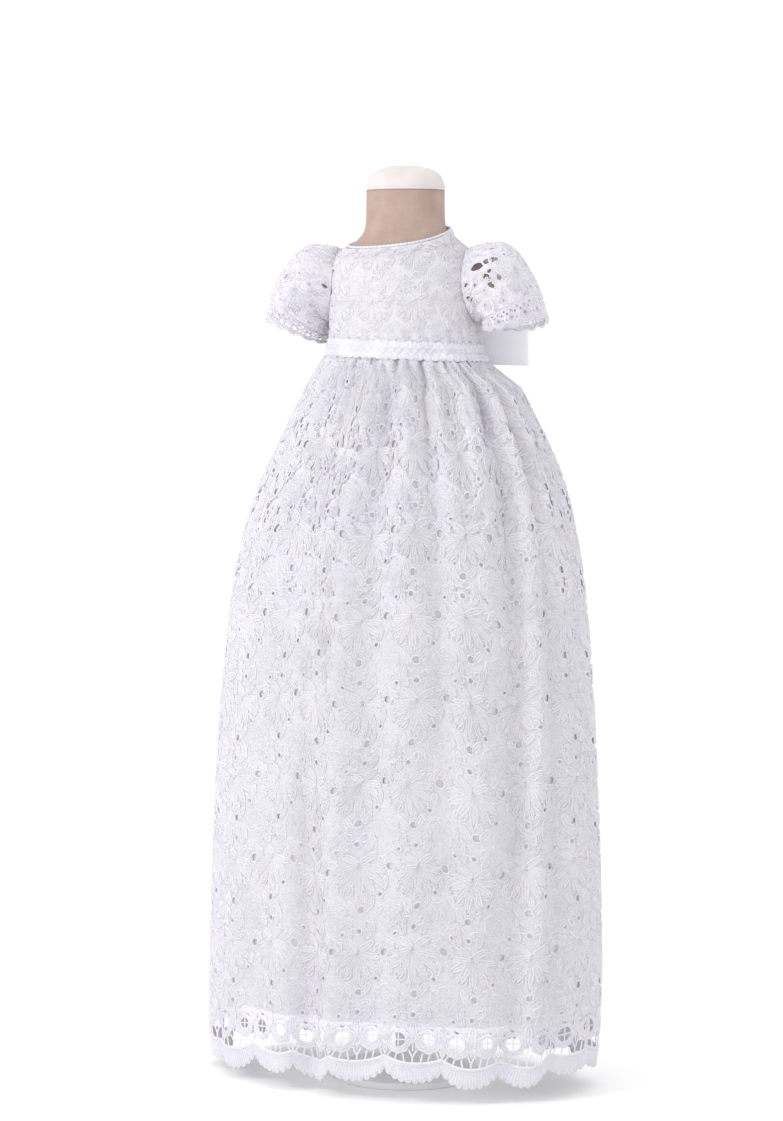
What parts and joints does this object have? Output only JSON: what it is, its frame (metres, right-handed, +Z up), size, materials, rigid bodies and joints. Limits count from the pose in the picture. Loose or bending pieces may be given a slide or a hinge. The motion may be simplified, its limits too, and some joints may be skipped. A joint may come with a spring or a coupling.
{
  "type": "christening gown on a dress form",
  "caption": "Long white lace christening gown with puffed sleeves, gathered skirt and back bow, standing on a limbless linen dress form with a round stand.",
  "frame": {"origin": "middle of the stand's underside, on the surface that it stands on", "axes": "+Z up, -Y towards the gown's front, +X towards the wearer's left"},
  "size_m": [0.4038, 0.2533, 0.9143],
  "materials": {
    "lace": "corded guipure lace, matt with a slight thread sheen",
    "lining": "plain white satin lining",
    "satin": "smooth satin ribbon",
    "braid": "raised white gimp braid",
    "pearl": "pearly moulded buttons",
    "linen": "tight natural linen cover",
    "cap": "cream cotton cover",
    "enamel": "satin white enamel"
  },
  "bodies": {
    "root": {"bodice_front": "lace", "bodice_back_left": "lace", "bodice_back_right": "lace", "neck_edging": "braid", "waist_braid": "braid", "skirt_front": "lace", "skirt_back_left": "lace", "skirt_back_right": "lace", "skirt_lining": "lining", "sleeve_left": "lace", "sleeve_right": "lace", "sleeve_trim_left": "lace", "sleeve_trim_right": "lace", "bow_knot": "satin", "bow_loop_left": "satin", "bow_loop_right": "satin", "bow_tail_left": "satin", "bow_tail_right": "satin", "back_button_1": "pearl", "back_button_2": "pearl", "back_button_3": "pearl", "back_button_4": "pearl", "form_torso": "linen", "form_neck_cap": "cap", "stand_pole": "enamel", "stand_base": "enamel"}
  },
  "joints": []
}
